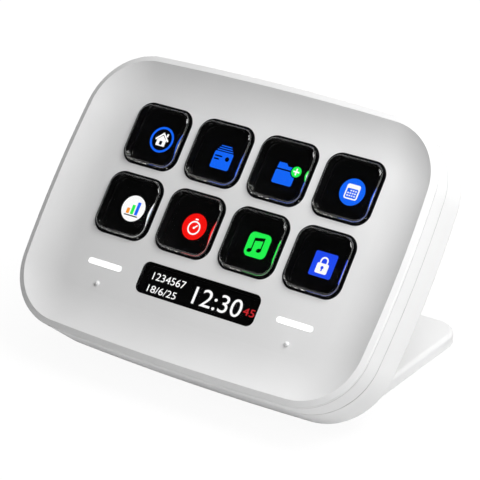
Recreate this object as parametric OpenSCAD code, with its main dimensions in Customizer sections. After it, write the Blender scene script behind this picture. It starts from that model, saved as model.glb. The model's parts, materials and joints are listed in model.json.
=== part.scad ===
// Macro keypad with eight display keys, on a bent desk stand.
// The case is drawn lying on its back, face up, with the back's outer face at z = 0.
// on_stand() then tips it up and sets it over the table, which is z = 0 in the finished part.
// The finished part faces -Y. Its origin is the middle of its footprint.

/* [Case] */
// Width of the case across its bowed sides
case_w = 109; // [106:0.5:132]
// Height of the case along its face
case_h = 78.8; // [77.8:0.5:96.8]
// Depth of the case from its back to the crest of its rim
case_d = 17.5; // [17:0.5:22]
// Radius of the case's four corners
corner_r = 17.5; // [14:0.5:18]
// How far each side stands out past its corners
side_bow = 0.7; // [0.5:0.1:2]
// Thickness of the side walls and of the back
wall = 2; // [1.7:0.1:2.4]
// Height over the back of the line where the rear cover meets the side frame
seam_z = 10.4; // [9:0.1:11.5]
// Radius of the back's outer edge
back_edge_r = 2; // [0.5:0.1:2]

/* [Dished face] */
// Width of the rim that slants outwards round the dish
rim_w = 1.6; // [1:0.1:2.4]
// How far the rim falls from its crest to its outer edge
rim_drop = 0.5; // [0.2:0.1:0.8]
// Radius of the rim's outer edge
rim_edge_r = 0.3; // [0.2:0.1:0.5]
// Thickness of the front cover at its outer edge
rim_edge_t = 0.8; // [0.6:0.1:1.2]
// Distance from the outer edge to where the slope runs out into the plate
dish_w = 12.5; // [9.5:0.5:13.5]
// Depth of the plate below the rim
dish_depth = 2.8; // [2:0.1:3.2]
// Thickness of the plate and of the slope
plate_t = 1; // [0.8:0.05:1.3]

/* [Keys] */
// Keys in a row
columns = 4; // [4]
// Rows of keys
rows = 2; // [2]
// Distance between the centres of two keys
key_pitch = 19.85; // [16.5:0.05:20.2]
// Width of plate left between two key openings
key_bridge = 2.35; // [2.2:0.05:3]
// Corner radius of a key opening
opening_r = 4.1; // [3:0.1:5]
// Height of the key field's centre over the case's centre
key_rise = 8.1; // [6:0.1:9]
// Travel of a key
key_travel = 0.9; // [0.6:0.1:1]
// How far a keycap stands out of the plate
key_proud = 1.4; // [1:0.1:2]
// Radius of a keycap's upper edge
cap_edge_r = 1.1; // [0.6:0.1:1.4]
// Gap all round between a keycap and its collar
key_gap = 0.15; // [0.1:0.05:0.25]

/* [Small display and touch points] */
// How far each end of the window stands in from the outer sides of the middle two keys
window_inset = 0.2; // [0:0.05:3]
// Height of the small display's window
window_h = 8.6; // [7:0.1:9]
// Corner radius of the window
window_r = 2; // [1:0.1:3]
// Distance from the key field's lower edge to the window's centre
window_drop = 6.75; // [6.5:0.05:8]
// Length of a light bar
light_l = 10.9; // [8:0.1:12]
// Width of a light bar
light_w = 1.6; // [1.2:0.1:2]
// Distance from a light bar down to its touch point
touch_drop = 5.4; // [5:0.1:7]
// Radius of a raised touch point
touch_r = 0.7; // [0.4:0.1:0.9]

/* [Stand] */
// Angle between the face and the table
face_tilt = 50; // [42:1:60]
// Width of the stand
stand_w = 85; // [72:1:96]
// Thickness of the bent plate
stand_t = 3.4; // [3:0.1:4.5]
// How far the foot reaches behind the lower edge of the back
foot_reach = 64.3; // [56.3:1:76.3]
// Height of the upper leg's top edge over the case's centre
leg_top = 6; // [3:1:12]
// Inner radius of the bend
bend_r = 3; // [2:0.5:5]
// Corner radius of both legs
leg_corner_r = 7; // [5:0.5:10]
// Radius of the legs' edges
leg_edge_r = 1.1; // [0.5:0.1:1.5]
// Clearance between the case's lowest edge and the table
table_gap = 0.9; // [0.8:0.1:4]
// Thickness of the rubber sole
pad_t = 1.2; // [0.8:0.1:1.6]
// How far the sole stands out of the foot
pad_proud = 0.4; // [0.2:0.1:0.6]

/* [Hidden] */
KEY_COUNT = columns * rows;

$fn = 96;
round_fn = 32;
eps = 0.01;

// Fits: the gaps that show at the two parting lines, and one inside which a lip slides
seam_gap = 0.2;
rim_gap = 0.15;
fit_gap = 0.1;

// Rounds to a number of decimals. The outline is built from rounded angles and corner
// places, so that its arcs meet exactly.
function rounded(x, decimals) = round(x * pow(10, decimals)) / pow(10, decimals);

// Outline of the case: four corner arcs, joined by wide arcs that touch them. An angle
// says how far the wide arc turns from its middle to either end.
side_angle = rounded(2 * atan2(side_bow, case_h / 2 - corner_r - side_bow), 2);
top_angle = rounded(2 * atan2(side_bow, case_w / 2 - corner_r - side_bow), 2);
corner_x = rounded(case_w / 2 - corner_r - side_bow, 2);
corner_y = rounded(case_h / 2 - corner_r - side_bow, 2);
// Width of the edge that is swept round the case; the flat middle fills what is left
edge_w = rounded((dish_w + corner_r) / 2, 2);
middle_w = case_w - 2 * edge_w + 2;
middle_h = case_h - 2 * edge_w + 2;

// Levels through the case, from the plate down to the main board
rim_t = 1.6;
plate_z = case_d - dish_depth;
ceiling_z = plate_z - plate_t;
frame_t = 0.4;
frame_z = ceiling_z - frame_t;
flange_t = 0.6;
flange_z = frame_z - flange_t;
mat_t = 0.25;
contact_t = 0.6;
dome_h = key_travel + 0.2;
mat_z = flange_z - dome_h - mat_t;
contact_z = mat_z - contact_t;
display_t = 1.9;
display_z = contact_z - display_t;
tray_t = 0.5;
tray_z = display_z - tray_t;
board_z = 4.4;
board_t = 1.2;
board_top_z = board_z + board_t;
dish_r = rounded((pow(dish_w - rim_w, 2) + pow(dish_depth, 2)) / (2 * dish_depth), 2);

// Parting lines: a lip on each cover slides into a groove in the side frame
lip_t = wall / 2 - fit_gap;
lip_h = 1.4;
rim_seam_z = case_d - rim_drop - rim_edge_t;
// The rim's slant, and the height of the centre of the small round at its outer end. The
// centre stands a hair high, so that the round crosses the slant at a clear angle.
rim_slant = atan2(rim_drop, rim_w);
rim_round_z = rounded(case_d - rim_drop + rim_edge_r * (tan(rim_slant) - 1 / cos(rim_slant)), 3)
    + 0.002;

// Keys
opening_w = key_pitch - key_bridge;
collar_w = opening_w - fit_gap;
collar_r = opening_r - fit_gap / 2;
collar_wall = 0.5;
collar_recess = 0.2;
cap_w = collar_w - 2 * collar_wall - 2 * key_gap;
cap_r = collar_r - collar_wall - key_gap;
flange_w = cap_w + 2.7;
flange_r = 2;
light_well_w = cap_w - 1.1;
light_well_r = 3;
// The clear block under a keycap ends this far over the display
lens_gap = key_travel + 0.2;
dome_inset = 1.5;
dome_r = 0.9;
dome_top_r = 0.55;
key_field_w = columns * key_pitch;
key_field_h = rows * key_pitch;
frame_margin = 0.9;

// Small display, light bars and touch points
window_w = key_pitch + opening_w - 2 * window_inset;
window_y = key_rise - key_field_h / 2 - window_drop;
window_ledge = 1;
ledge_t = 0.6;
window_recess = 0.1;
light_x = (columns - 1) / 2 * key_pitch;
light_recess = 0.15;
light_pipe_z = mat_z + 0.65;
led_size = [1.6, 0.8, 0.6];
led_spread = 2.6;
touch_y = window_y - touch_drop;
touch_proud = 0.6;
touch_pad_r = 3.2;

// Display stack
display_side = 2.3;
display_above = 2.65;
display_below = 4.6;
display_top = key_rise + key_field_h / 2 + display_above;
display_bottom = window_y - window_h / 2 - display_below;
display_w = key_field_w + 2 * display_side;
display_h = display_top - display_bottom;
display_y = (display_top + display_bottom) / 2;
tray_wall = 0.5;
tray_w = display_w + 2 * (tray_wall + fit_gap);
tray_h = display_h + 2 * (tray_wall + fit_gap);
contact_side = 0.8;
contact_r = 4;
frame_screw_gap = 2.3;
frame_screw_edge = 1.9;
contact_w = display_w + 2 * contact_side;
contact_top = display_top + frame_screw_gap + frame_screw_edge;
contact_bottom = display_bottom - frame_screw_gap - frame_screw_edge;
frame_screw_x = [13, 38] * key_pitch / 19.85;
frame_screw_y = [display_bottom - frame_screw_gap, display_top + frame_screw_gap];

// Screws: radius and height of the head, radius of the shank
case_screw = [1.9, 1.4, 1];
frame_screw = [1.4, 0.9, 0.7];
board_screw = [1.4, 0.9, 0.7];
stand_screw = [2.2, 1.1, 1.2];
thread_gap = 0.02;
boss_z = 8.4;
boss_r = 2.6;
post_r = 3.1;
screw_shelf_z = 5;
case_screw_end = 13.6;
frame_boss_r = 1.7;
frame_screw_l = 3.4;
board_post_r = 1.9;
board_screw_l = 3;
stand_screw_l = 4.6;

// Screws at the case's corners stand in from the corner's circle, 28 degrees off its side
corner_screw_in = corner_r - wall - boss_r - 0.2;
corner_screw_angle = 28;
case_screw_x = corner_x + corner_screw_in * cos(corner_screw_angle);
case_screw_y = corner_y + corner_screw_in * sin(corner_screw_angle);

// Main board and what it carries
board_w = 76;
board_h = 44;
board_y = 8;
board_inset = 4;
board_x = board_w / 2 - board_inset;
board_ys = [board_y - board_h / 2 + board_inset, board_y + board_h / 2 - board_inset];
connector_h = 1;
connector_d = 4;
connector_z = board_top_z + 0.4;
display_connector_w = 22;
display_connector_y = board_y - board_h / 2 + 1;
key_connector_w = 16;
key_connector_y = board_y + board_h / 2 - 1;
flex_t = 0.2;
display_flex_w = 20;
display_flex_z = display_z + 0.75;
key_flex_w = 14;
key_flex_y = contact_top - 1.2;

// Cable socket
socket_w = 8.94;
socket_h = 3.16;
socket_wall = 0.3;
socket_z = 0.5;
socket_y = 22;
socket_gap = 0.3;
socket_recess_w = 13.4;
socket_recess_h = 7.4;
socket_recess_d = 0.6;
tongue_size = [6.6, 0.7];

// Ribs of the back
rib_t = 1;
rib_h = 1.2;

// Placing: how high the case's centre line stands, and where the foot lies under it
bend_outer = bend_r + stand_t;
case_lift = table_gap + sin(face_tilt) * case_h / 2;
// The bend's centre, along the case's back and then on the table
bend_up = (pad_proud + bend_outer - case_lift + cos(face_tilt) * bend_outer) / sin(face_tilt);
bend_rear = cos(face_tilt) * bend_up + sin(face_tilt) * bend_outer;
back_edge = -cos(face_tilt) * case_h / 2;
foot_end = back_edge + foot_reach;
face_edge = -cos(face_tilt) * (case_h / 2 - rim_edge_r) - sin(face_tilt) * rim_round_z - rim_edge_r;
// Shift that brings the middle of the footprint to y = 0
rear_shift = -(foot_end + face_edge) / 2;
stand_screw_x = 28;
stand_screw_y = [bend_up + 7, leg_top - 8];
pad_w = stand_w - 11;
pad_margin = 6;
pad_r = 4;

WHITE = [0.93, 0.93, 0.93];
BLACK = [0.05, 0.05, 0.06];
RUBBER = [0.16, 0.16, 0.17];
STEEL = [0.72, 0.73, 0.75];
GLASS = [0.08, 0.09, 0.12];
CLEAR = [0.55, 0.6, 0.66, 0.5];
BOARD = [0.1, 0.32, 0.2];
AMBER = [0.8, 0.5, 0.16];

// ---- Helpers ----

// Tips the flat case up and sets it over the table
module on_stand() {
    translate([0, rear_shift, case_lift]) rotate([face_tilt, 0, 0]) children();
}

// Rectangle with round corners, round the origin
module round_rect(w, h, r) {
    square([w - 2 * r, h], center = true);
    square([w, h - 2 * r], center = true);
    for (x = [-1, 1], y = [-1, 1])
        translate([x * (w / 2 - r), y * (h / 2 - r)]) circle(r, $fn = round_fn);
}

// Plate with round corners, from height z to z + t
module round_plate(w, h, r, z, t) {
    translate([0, 0, z]) linear_extrude(t) round_rect(w, h, r);
}

// What a round edge of radius r takes off a square corner at the origin. The solid lies
// at +x, and below the corner or above it.
module edge_cut(r, above = false) {
    difference() {
        translate([-1, above ? -1 : -r]) square([r + 1, r + 1]);
        translate([r, above ? r : -r]) circle(r, $fn = round_fn);
    }
}

// Moves by v in a coarse and a fine step, which keeps more digits of v
module precise_move(v) {
    coarse = [for (x = v) rounded(x, 2)];
    translate(coarse) translate(v - coarse) children();
}

// Sweeps a section along an arc of the outline. The section's x runs inwards from the
// outline and its y runs up from the back.
module edge_arc(centre, radius, from, to) {
    precise_move(centre)
        rotate_extrude(start = from, angle = to - from, $fn = 16 * 360 / (to - from))
            precise_move([radius, 0]) mirror([1, 0]) children();
}

// Sweeps a section once round the whole outline of the case
module round_the_case() {
    side_back = corner_y / tan(side_angle);
    side_r = corner_r + corner_y / sin(side_angle);
    top_back = corner_x / tan(top_angle);
    top_r = corner_r + corner_x / sin(top_angle);
    for (turn = [0, 180]) rotate([0, 0, turn]) {
        edge_arc([corner_x - side_back, 0], side_r, -side_angle, side_angle) children();
        edge_arc([corner_x, corner_y], corner_r, side_angle, 90 - top_angle) children();
        edge_arc([0, corner_y - top_back], top_r, 90 - top_angle, 90 + top_angle) children();
        edge_arc([-corner_x, corner_y], corner_r, 90 + top_angle, 180 - side_angle) children();
    }
}

// The four corners of a rectangle round the origin
function corners(x, y) = [for (sx = [-1, 1], sy = [-1, 1]) [sx * x, sy * y]];

// Pairs either side of the middle, for each x and each y
function pairs(xs, ys) = [for (x = xs, side = [-1, 1], y = ys) [side * x, y]];

module at(places) {
    for (place = places) translate(place) children();
}

function key_place(key) = [
    ((key - 1) % columns - (columns - 1) / 2) * key_pitch,
    key_rise + ((rows - 1) / 2 - floor((key - 1) / columns)) * key_pitch];

key_places = [for (key = [1:KEY_COUNT]) key_place(key)];
case_screw_places = corners(case_screw_x, case_screw_y);
frame_screw_places = pairs(frame_screw_x, frame_screw_y);
board_screw_places = pairs([board_x], board_ys);
stand_screw_places = pairs([stand_screw_x], stand_screw_y);

// Screw with its head's bearing face at z = 0 and its shank of length l going up.
// size holds the head's radius, the head's height and the shank's radius.
module screw(size, l) {
    difference() {
        translate([0, 0, -size[1]]) cylinder(r = size[0], h = size[1], $fn = round_fn);
        // Hexagon drive in the head
        translate([0, 0, -size[1] - eps]) cylinder(r = size[0] * 0.5, h = size[1] * 0.6, $fn = 6);
    }
    cylinder(r = size[2], h = l, $fn = round_fn);
}

// ---- Front cover ----

// Space in front of the dished face, in the section of the case's edge. The dish is an arc
// that leaves the rim at an angle and runs out level into the plate. deeper moves the whole
// surface back, which gives the inside of the wall.
module dish_space(deeper = 0) {
    translate([dish_w, plate_z + dish_r]) circle(dish_r + deeper, $fn = 180);
    translate([dish_w, plate_z - deeper]) square([edge_w, case_d]);
}

// Space over the slanted rim and round its outer edge
module rim_space() {
    reach = rim_edge_r + 1;
    outer_z = case_d - rim_drop;
    polygon([
        [-1, outer_z - tan(rim_slant)],
        [rim_w + 1, case_d + tan(rim_slant)],
        [rim_w + 1, case_d + 2],
        [-1, case_d + 2],
    ]);
    translate([rim_edge_r, rim_round_z]) difference() {
        polygon([[0, 0], [-reach, 0], [-reach, reach], [-reach * sin(rim_slant), reach * cos(rim_slant)]]);
        circle(rim_edge_r, $fn = round_fn);
    }
}

// Section of the front cover's edge: slanted rim, dished slope, and the lip inside the frame
module front_section() {
    base_z = rim_seam_z + rim_gap / 2;
    difference() {
        union() {
            translate([0, base_z]) square([edge_w, case_d + 1 - base_z]);
            translate([wall, ceiling_z]) square([edge_w - wall, case_d - ceiling_z]);
            translate([wall - lip_t, rim_seam_z - lip_h]) square([lip_t, lip_h + rim_gap]);
        }
        rim_space();
        dish_space();
        difference() {
            translate([wall, 0]) square([edge_w, case_d - rim_t]);
            dish_space(plate_t);
        }
    }
}

// Height of the dished face at a distance in from the outline
function face_height(inwards) =
    plate_z + dish_r - sqrt(dish_r * dish_r - pow(max(dish_w - inwards, 0), 2));

// Boss that hangs from the underside of the face at [x, y], down to height z
module hanging_boss(place, r, z) {
    boss_top = face_height(case_h / 2 - abs(place[1]) + r) - 0.1;
    translate([place[0], place[1], z]) cylinder(r = r, h = boss_top - z);
}

module window_shape(grow) {
    round_rect(window_w + 2 * grow, window_h + 2 * grow, window_r + grow);
}

module light_shape(grow) {
    round_rect(light_l + 2 * grow, light_w + 2 * grow, light_w / 2 + grow - eps);
}

// Raised touch point: the cap of a sphere on the plate
module touch_point() {
    ball_r = (touch_r * touch_r + touch_proud * touch_proud) / (2 * touch_proud);
    intersection() {
        translate([0, 0, plate_z + touch_proud - ball_r]) sphere(ball_r, $fn = round_fn);
        translate([0, 0, plate_z - plate_t / 2]) cylinder(r = ball_r, h = plate_t / 2 + touch_proud);
    }
}

module front_cover() color(WHITE) on_stand() difference() {
    union() {
        round_the_case() front_section();
        translate([-middle_w / 2, -middle_h / 2, ceiling_z]) cube([middle_w, middle_h, plate_t]);
        for (place = case_screw_places) hanging_boss(place, boss_r, boss_z);
        for (place = frame_screw_places) hanging_boss(place, frame_boss_r, mat_z);
        for (side = [-1, 1]) translate([side * light_x, touch_y]) touch_point();
    }
    at(key_places) round_plate(opening_w, opening_w, opening_r, ceiling_z - 1, plate_t + 2);
    translate([0, window_y, ceiling_z - 1]) linear_extrude(plate_t + 2) window_shape(0);
    for (side = [-1, 1]) translate([side * light_x, window_y, ceiling_z - 1])
        linear_extrude(plate_t + 2) light_shape(0);
    at(case_screw_places) translate([0, 0, boss_z - 1])
        cylinder(r = case_screw[2] + thread_gap, h = case_screw_end + 0.3 - boss_z + 1);
    at(frame_screw_places) translate([0, 0, mat_z - 1])
        cylinder(r = frame_screw[2] + thread_gap, h = frame_screw_l - contact_t + 1.3);
}

// ---- Side frame ----

// Section of the side frame: a wall that is grooved for the lips of both covers
module side_section() {
    groove_x = wall - lip_t - fit_gap;
    difference() {
        translate([0, seam_z + seam_gap / 2])
            square([wall, rim_seam_z - rim_gap / 2 - seam_z - seam_gap / 2]);
        translate([groove_x, 0]) square([wall, seam_z + lip_h + fit_gap]);
        translate([groove_x, rim_seam_z - lip_h - fit_gap]) square([wall, case_d]);
    }
}

module side_frame() color(WHITE) on_stand() round_the_case() side_section();

// ---- Rear cover ----

// Section of the rear cover's edge: back, wall and lip
module rear_section() {
    rear_top = seam_z - seam_gap / 2;
    difference() {
        union() {
            square([edge_w, wall]);
            square([wall, rear_top]);
            translate([wall - lip_t, 0]) square([lip_t, seam_z + lip_h]);
        }
        edge_cut(back_edge_r, above = true);
    }
}

module socket_shape(w, h) {
    round_rect(w, h, h / 2 - eps);
}

// Ribs that stiffen the back, between the posts and round the stand's screws
module back_ribs() {
    rib_y = bend_up - 2;
    for (side = [-1, 1])
        translate([side * (stand_screw_x + 12) - rib_t / 2, rib_y, wall - eps])
            cube([rib_t, case_screw_y - rib_y, rib_h + eps]);
    translate([-stand_screw_x - 12, rib_y - rib_t / 2, wall - eps])
        cube([2 * stand_screw_x + 24, rib_t, rib_h + eps]);
}

module rear_cover() color(WHITE) on_stand() difference() {
    union() {
        round_the_case() rear_section();
        translate([-middle_w / 2, -middle_h / 2, 0]) cube([middle_w, middle_h, wall]);
        at(case_screw_places) translate([0, 0, wall / 2])
            cylinder(r = post_r, h = boss_z - seam_gap / 2 - wall / 2);
        at(board_screw_places)
            translate([0, 0, wall / 2]) cylinder(r = board_post_r, h = board_z - wall / 2);
        back_ribs();
    }
    at(case_screw_places) {
        translate([0, 0, -1]) cylinder(r = case_screw[0] + 0.2, h = screw_shelf_z + 1);
        cylinder(r = case_screw[2] + 0.15, h = boss_z);
    }
    at(board_screw_places) translate([0, 0, wall])
        cylinder(r = board_screw[2] + thread_gap, h = board_z);
    at(stand_screw_places)
        translate([0, 0, -1]) cylinder(r = stand_screw[2] + 0.1, h = wall + 2);
    translate([0, socket_y, -1]) linear_extrude(wall + 2)
        socket_shape(socket_w + 2 * socket_gap, socket_h + 2 * socket_gap);
    translate([0, socket_y, -1]) linear_extrude(socket_recess_d + 1)
        socket_shape(socket_recess_w, socket_recess_h);
}

// ---- Stand ----

// Section of a leg's edge: x runs outwards, y through the plate to its rounded inner face
module leg_section() {
    difference() {
        square([leg_corner_r, stand_t]);
        translate([leg_corner_r, stand_t]) mirror([1, 0]) edge_cut(leg_edge_r);
    }
}

// Leg from y = 0 to y = length, outer face on z = 0, with two round corners at its end
module leg(length) {
    inner_x = stand_w / 2 - leg_corner_r;
    inner_y = length - leg_corner_r;
    translate([-inner_x, 0, 0]) cube([2 * inner_x, inner_y, stand_t]);
    for (side = [0, 1]) mirror([side, 0, 0]) {
        translate([inner_x, inner_y, 0]) rotate_extrude(angle = 90) leg_section();
        translate([inner_x, inner_y, 0]) rotate([90, 0, 0])
            linear_extrude(inner_y) leg_section();
    }
    translate([-inner_x, inner_y, 0]) rotate([90, 0, 90])
        linear_extrude(2 * inner_x) leg_section();
}

// Section of the bend: x is the distance from the bend's axis, y runs across the stand
module bend_section() {
    difference() {
        translate([bend_r, -stand_w / 2]) square([stand_t, stand_w]);
        for (side = [0, 1]) mirror([0, side])
            translate([bend_r, stand_w / 2]) edge_cut(leg_edge_r);
    }
}

// Leg and a little over half of the bend, turned so that the bend's middle points along -Y
module half_stand(length) rotate([-face_tilt / 2, 0, 0]) {
    bend_angle = (180 - face_tilt) / 2 + 5;
    translate([0, 0, -bend_outer]) leg(length);
    rotate([90, 0, 90])
        rotate_extrude(start = 270 - bend_angle, angle = bend_angle) bend_section();
}

// The two halves mirror each other, so that their bends are parts of exactly the same ring
// and merge without a seam
module stand() color(WHITE) difference() {
    translate([0, rear_shift + bend_rear, pad_proud + bend_outer])
        rotate([face_tilt / 2, 0, 0]) {
            half_stand(foot_end - bend_rear);
            mirror([0, 0, 1]) half_stand(leg_top - bend_up);
        }
    on_stand() at(stand_screw_places) translate([0, 0, wall - stand_screw_l - 0.2])
        cylinder(r = stand_screw[2] + thread_gap, h = stand_screw_l + 1);
    pad_shape(fit_gap, 1);
}

// The sole's block, grown all round by grow and lengthened downwards by below
module pad_shape(grow, below) {
    pad_l = foot_end - bend_rear - pad_margin;
    translate([0, rear_shift + bend_rear + pad_l / 2, 0])
        round_plate(pad_w + 2 * grow, pad_l + 2 * grow, pad_r + grow, -below, pad_t + below);
}

module stand_pad() color(RUBBER) pad_shape(0, 0);

module stand_screws() color(STEEL) on_stand() at(stand_screw_places)
    translate([0, 0, wall]) mirror([0, 0, 1]) screw(stand_screw, stand_screw_l);

module case_screws() color(STEEL) on_stand() at(case_screw_places)
    translate([0, 0, screw_shelf_z]) screw(case_screw, case_screw_end - screw_shelf_z);

// ---- Keys ----

// Black frame behind the plate, with a collar that lines each key opening
module key_frame() color(BLACK) on_stand() difference() {
    union() {
        translate([0, key_rise, 0])
            round_plate(key_field_w + 2 * frame_margin, key_field_h + 2 * frame_margin,
                opening_r, frame_z, frame_t);
        at(key_places) round_plate(collar_w, collar_w, collar_r, frame_z,
            plate_z - collar_recess - frame_z);
    }
    at(key_places) round_plate(collar_w - 2 * collar_wall, collar_w - 2 * collar_wall,
        collar_r - collar_wall, frame_z - 1, plate_z - frame_z + 2);
}

// Section of a keycap's upper part: x runs outwards from the corner's axis
module cap_section() {
    cap_h = plate_z + key_proud - frame_z;
    difference() {
        square([cap_r, cap_h]);
        translate([cap_r, cap_h]) mirror([1, 0]) edge_cut(cap_edge_r);
    }
}

// Upper part of a keycap: a block with round corners and a round upper edge
module cap_block() {
    inner = cap_w / 2 - cap_r;
    cap_h = plate_z + key_proud - frame_z;
    translate([-inner, -inner, 0]) cube([2 * inner, 2 * inner, cap_h]);
    for (turn = [0:90:270]) rotate([0, 0, turn]) {
        translate([inner, inner, 0]) rotate_extrude(angle = 90) cap_section();
        translate([inner, inner, 0]) rotate([90, 0, 0]) linear_extrude(2 * inner) cap_section();
    }
}

// Clear keycap: block, flange that stops behind the frame, and lens down to the display
module key_cap(key) color(CLEAR) on_stand() translate(key_place(key)) {
    lens_z = contact_z + lens_gap;
    translate([0, 0, frame_z]) cap_block();
    round_plate(flange_w, flange_w, flange_r, flange_z, flange_t);
    round_plate(light_well_w - 0.6, light_well_w - 0.6, light_well_r - 0.3, lens_z,
        flange_z - lens_z);
}

// Silicone sheet with a dome under each corner of every key
module key_mat() color(RUBBER) on_stand() {
    dome_at = flange_w / 2 - dome_inset;
    difference() {
        translate([0, key_rise, 0])
            round_plate(key_field_w + 2 * frame_margin, key_field_h + 2 * frame_margin,
                opening_r, mat_z, mat_t);
        at(key_places) round_plate(light_well_w, light_well_w, light_well_r, mat_z - 1, mat_t + 2);
    }
    at(key_places) at(corners(dome_at, dome_at)) translate([0, 0, mat_z])
        cylinder(r1 = dome_r, r2 = dome_top_r, h = mat_t + dome_h, $fn = round_fn);
}

// Circuit board under the mat, with a light well for each key and for the window
module contact_board() color(BOARD) on_stand() difference() {
    translate([0, (contact_top + contact_bottom) / 2, 0])
        round_plate(contact_w, contact_top - contact_bottom, contact_r, contact_z, contact_t);
    at(key_places)
        round_plate(light_well_w, light_well_w, light_well_r, contact_z - 1, contact_t + 2);
    translate([0, window_y, contact_z - 1]) linear_extrude(contact_t + 2) window_shape(-0.4);
    at(frame_screw_places) translate([0, 0, contact_z - 1])
        cylinder(r = frame_screw[2] + 0.1, h = contact_t + 2, $fn = round_fn);
}

module frame_screws() color(STEEL) on_stand() at(frame_screw_places)
    translate([0, 0, contact_z]) screw(frame_screw, frame_screw_l);

// ---- Display ----

module display_panel() color(GLASS) on_stand()
    translate([-display_w / 2, display_bottom, display_z]) cube([display_w, display_h, display_t]);

// Shallow metal tray that holds the panel's back light, notched for the ribbon
module display_tray() color(STEEL) on_stand() difference() {
    translate([0, display_y, 0]) round_plate(tray_w, tray_h, 1, tray_z, contact_z - tray_z);
    translate([-display_w / 2 - fit_gap, display_bottom - fit_gap, display_z])
        cube([display_w + 2 * fit_gap, display_h + 2 * fit_gap, case_d]);
    translate([-display_flex_w / 2 - 1, display_bottom - 2, display_flex_z - 0.3])
        cube([display_flex_w + 2, 3, case_d]);
}

// Ribbon from the panel's lower edge, round the tray, to the main board
module display_flex() color(AMBER) on_stand() {
    turn_r = (display_flex_z - connector_z) / 2;
    turn_y = display_bottom - 2;
    translate([-display_flex_w / 2, 0, 0]) rotate([90, 0, 90]) linear_extrude(display_flex_w) {
        translate([turn_y, display_flex_z - flex_t / 2])
            square([display_bottom - turn_y, flex_t]);
        translate([turn_y, connector_z - flex_t / 2])
            square([display_connector_y - turn_y, flex_t]);
        translate([turn_y, connector_z + turn_r]) difference() {
            circle(turn_r + flex_t / 2, $fn = round_fn);
            circle(turn_r - flex_t / 2, $fn = round_fn);
            translate([0, -2 * turn_r]) square(4 * turn_r);
        }
    }
}

// Ribbon from the contact board down to the main board
module key_flex() color(AMBER) on_stand() {
    turn_r = 1;
    translate([-key_flex_w / 2, 0, 0]) rotate([90, 0, 90]) linear_extrude(key_flex_w) {
        translate([key_flex_y - flex_t / 2, connector_z + turn_r])
            square([flex_t, contact_z - connector_z - turn_r]);
        translate([key_connector_y, connector_z - flex_t / 2])
            square([key_flex_y - turn_r - key_connector_y, flex_t]);
        translate([key_flex_y - turn_r, connector_z + turn_r]) difference() {
            circle(turn_r + flex_t / 2, $fn = round_fn);
            circle(turn_r - flex_t / 2, $fn = round_fn);
            translate([-4, 0]) square(8);
            translate([-8, -4]) square(8);
        }
    }
}

// Clear window of the small display, with a ledge that stops behind the plate
module info_window() color(CLEAR) on_stand() translate([0, window_y, 0]) {
    translate([0, 0, ceiling_z - ledge_t])
        linear_extrude(plate_t + ledge_t - window_recess) window_shape(-fit_gap / 2);
    translate([0, 0, ceiling_z - ledge_t]) linear_extrude(ledge_t) window_shape(window_ledge);
}

// ---- Light bars and touch points ----

// Diffuser of a light bar: its ledge stops behind the plate, its foot ends over the lamps
module light_bar(side) color([1, 1, 1]) on_stand() translate([side * light_x, window_y, 0]) {
    translate([0, 0, light_pipe_z])
        linear_extrude(plate_z - light_recess - light_pipe_z) light_shape(-fit_gap / 2);
    translate([0, 0, ceiling_z - ledge_t]) linear_extrude(ledge_t) light_shape(window_ledge);
}

module light_leds() color([0.95, 0.93, 0.8]) on_stand()
    for (side = [-1, 1], x = [-led_spread, led_spread])
        translate([side * light_x + x - led_size[0] / 2, window_y - led_size[1] / 2, mat_z])
            cube(led_size);

// Conductive foam between the contact board and the back of a touch point
module touch_pad(side) color(RUBBER) on_stand() translate([side * light_x, touch_y, mat_z])
    cylinder(r = touch_pad_r, h = ceiling_z - mat_z, $fn = round_fn);

// ---- Main board ----

module main_board() color(BOARD) on_stand() difference() {
    translate([-board_w / 2, board_y - board_h / 2, board_z]) cube([board_w, board_h, board_t]);
    at(board_screw_places) translate([0, 0, board_z - 1])
        cylinder(r = board_screw[2] + 0.1, h = board_t + 2, $fn = round_fn);
}

// A part of size w x h x t on the main board's front, centred on (x, y)
module chip(x, y, w, h, t) {
    translate([x - w / 2, y - h / 2, board_top_z]) cube([w, h, t]);
}

// Connectors of the two ribbons, the processor, its memory, a regulator and its coil
module board_chips() color(BLACK) on_stand() {
    chip(0, display_connector_y + connector_d / 2, display_connector_w, connector_d, connector_h);
    chip(0, key_connector_y - connector_d / 2, key_connector_w, connector_d, connector_h);
    chip(-12, board_y + 2, 10, 10, 1.2);
    chip(6, board_y + 2, 6, 5, 0.9);
    chip(22, board_y - 4, 4, 4, 1.6);
    chip(22, board_y + 5, 3, 3, 0.9);
}

module board_screws() color(STEEL) on_stand() at(board_screw_places)
    translate([0, 0, board_top_z]) mirror([0, 0, 1]) screw(board_screw, board_screw_l);

// Cable socket: a metal shell open to the back, with the contacts' tongue inside
module usb_socket() color(STEEL) on_stand() translate([0, socket_y, 0]) {
    difference() {
        translate([0, 0, socket_z])
            linear_extrude(board_z - socket_z) socket_shape(socket_w, socket_h);
        translate([0, 0, socket_z - 1]) linear_extrude(board_z - socket_z + 0.5)
            socket_shape(socket_w - 2 * socket_wall, socket_h - 2 * socket_wall);
    }
    translate([-tongue_size[0] / 2, -tongue_size[1] / 2, socket_z + 0.6])
        cube([tongue_size[0], tongue_size[1], board_z - socket_z - 0.8]);
}

front_cover();
side_frame();
rear_cover();
stand();
stand_pad();
stand_screws();
case_screws();
key_frame();
key_mat();
contact_board();
frame_screws();
display_panel();
display_tray();
display_flex();
key_flex();
info_window();
light_bar(-1);  // light_bar_left
light_bar(1);  // light_bar_right
light_leds();
touch_pad(-1);  // touch_pad_left
touch_pad(1);  // touch_pad_right
main_board();
board_chips();
board_screws();
usb_socket();
for (key = [1:KEY_COUNT])
    key_cap(key);
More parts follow.
